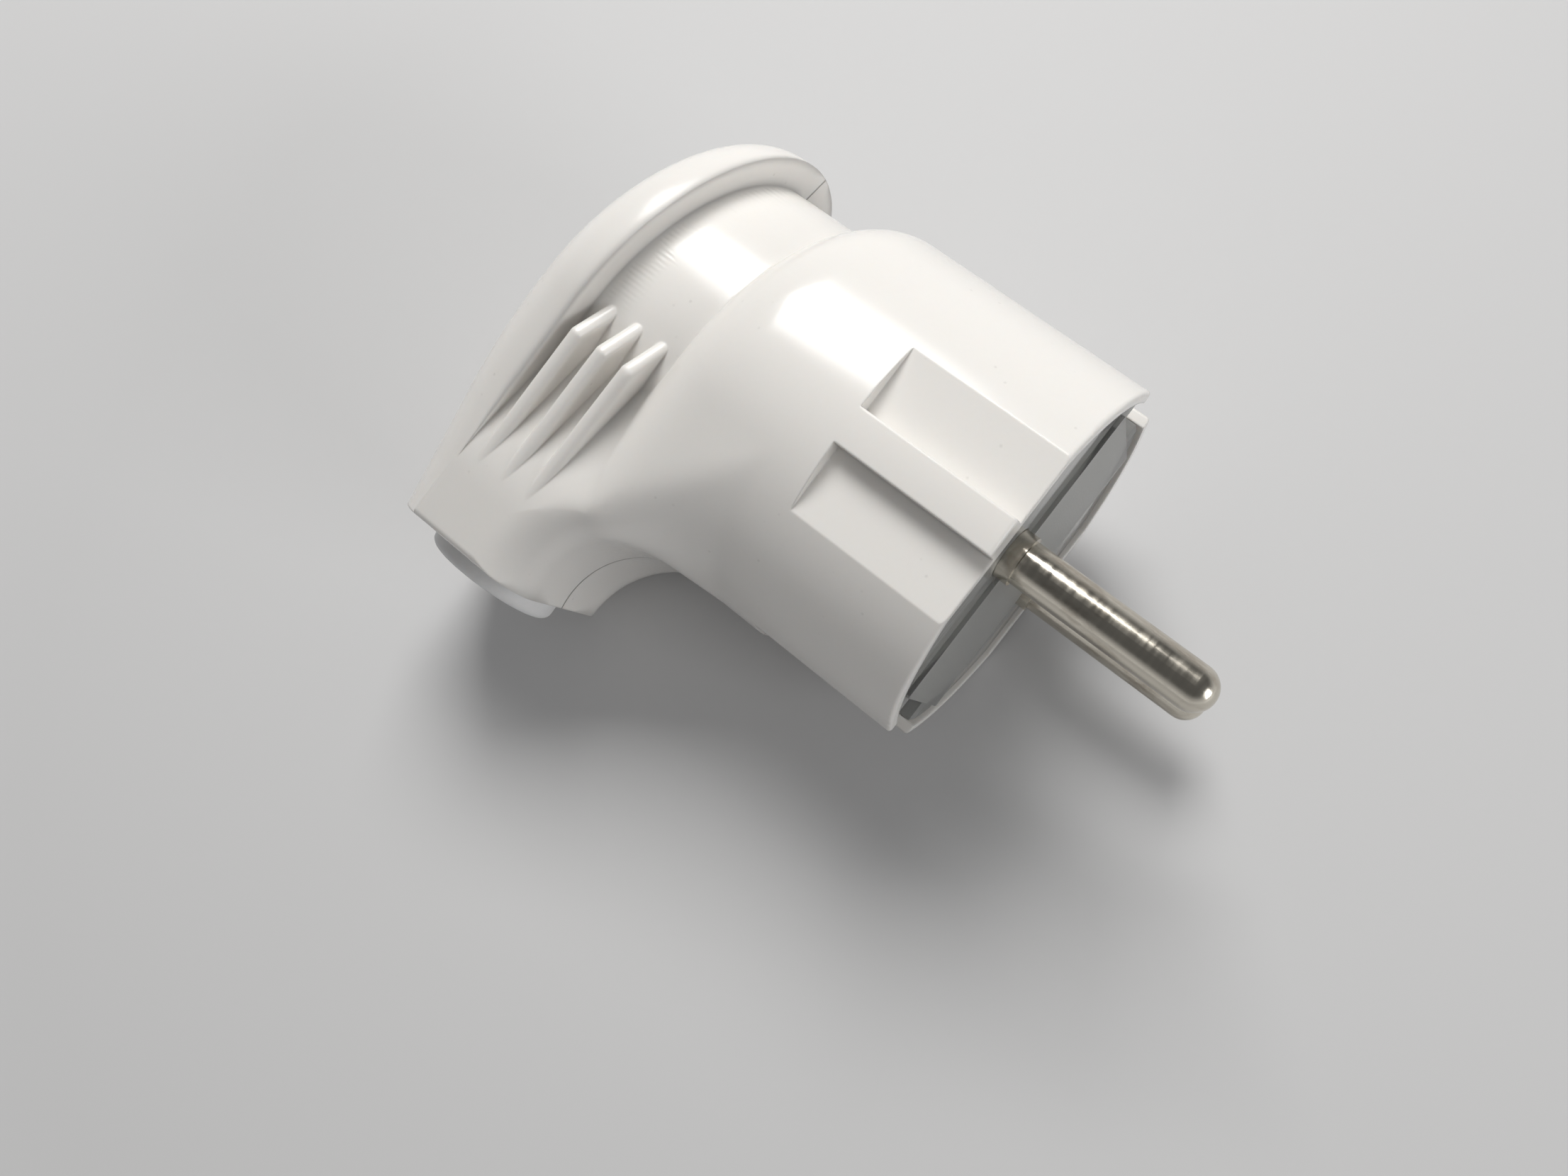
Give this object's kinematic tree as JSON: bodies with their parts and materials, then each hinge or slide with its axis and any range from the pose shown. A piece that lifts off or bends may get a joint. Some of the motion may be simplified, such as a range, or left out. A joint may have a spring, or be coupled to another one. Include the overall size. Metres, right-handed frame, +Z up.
{
  "type": "electrical plug",
  "caption": "Angled white mains plug with two round pins, side earth contacts, a clear face plate, a ribbed grip and a collar where the cable enters.",
  "frame": {"origin": "midway between the two contact pins, on the middle strip of the face plate, in the plane of the housing's front rim", "axes": "+X along the pins towards their tips; +Z up as the plug lies on the flat of its lower half; the cable leaves towards -Y, a little below level"},
  "size_m": [0.0661, 0.0494, 0.0366],
  "materials": {
    "white_plastic": "gloss",
    "insert_plastic": "satin",
    "bushing_plastic": "satin",
    "clear_plastic": "gloss",
    "nickel": "polished",
    "brass": "satin",
    "steel": "satin"
  },
  "bodies": {
    "root": {"upper_housing_half": "white_plastic", "lower_housing_half": "white_plastic", "face_plate": "clear_plastic", "pin_carrier": "insert_plastic", "live_pin": "nickel", "neutral_pin": "nickel", "live_terminal_block": "brass", "neutral_terminal_block": "brass", "live_terminal_screw": "steel", "neutral_terminal_screw": "steel", "earth_strap": "nickel", "earth_clamp_washer": "brass", "earth_terminal_screw": "steel", "cord_clamp_saddle": "insert_plastic", "rear_clamp_screw": "steel", "front_clamp_screw": "steel", "cable_bushing": "bushing_plastic", "barrel_housing_screw": "steel", "tower_housing_screw": "steel", "barrel_screw_insert": "brass", "tower_screw_insert": "brass"}
  },
  "joints": []
}
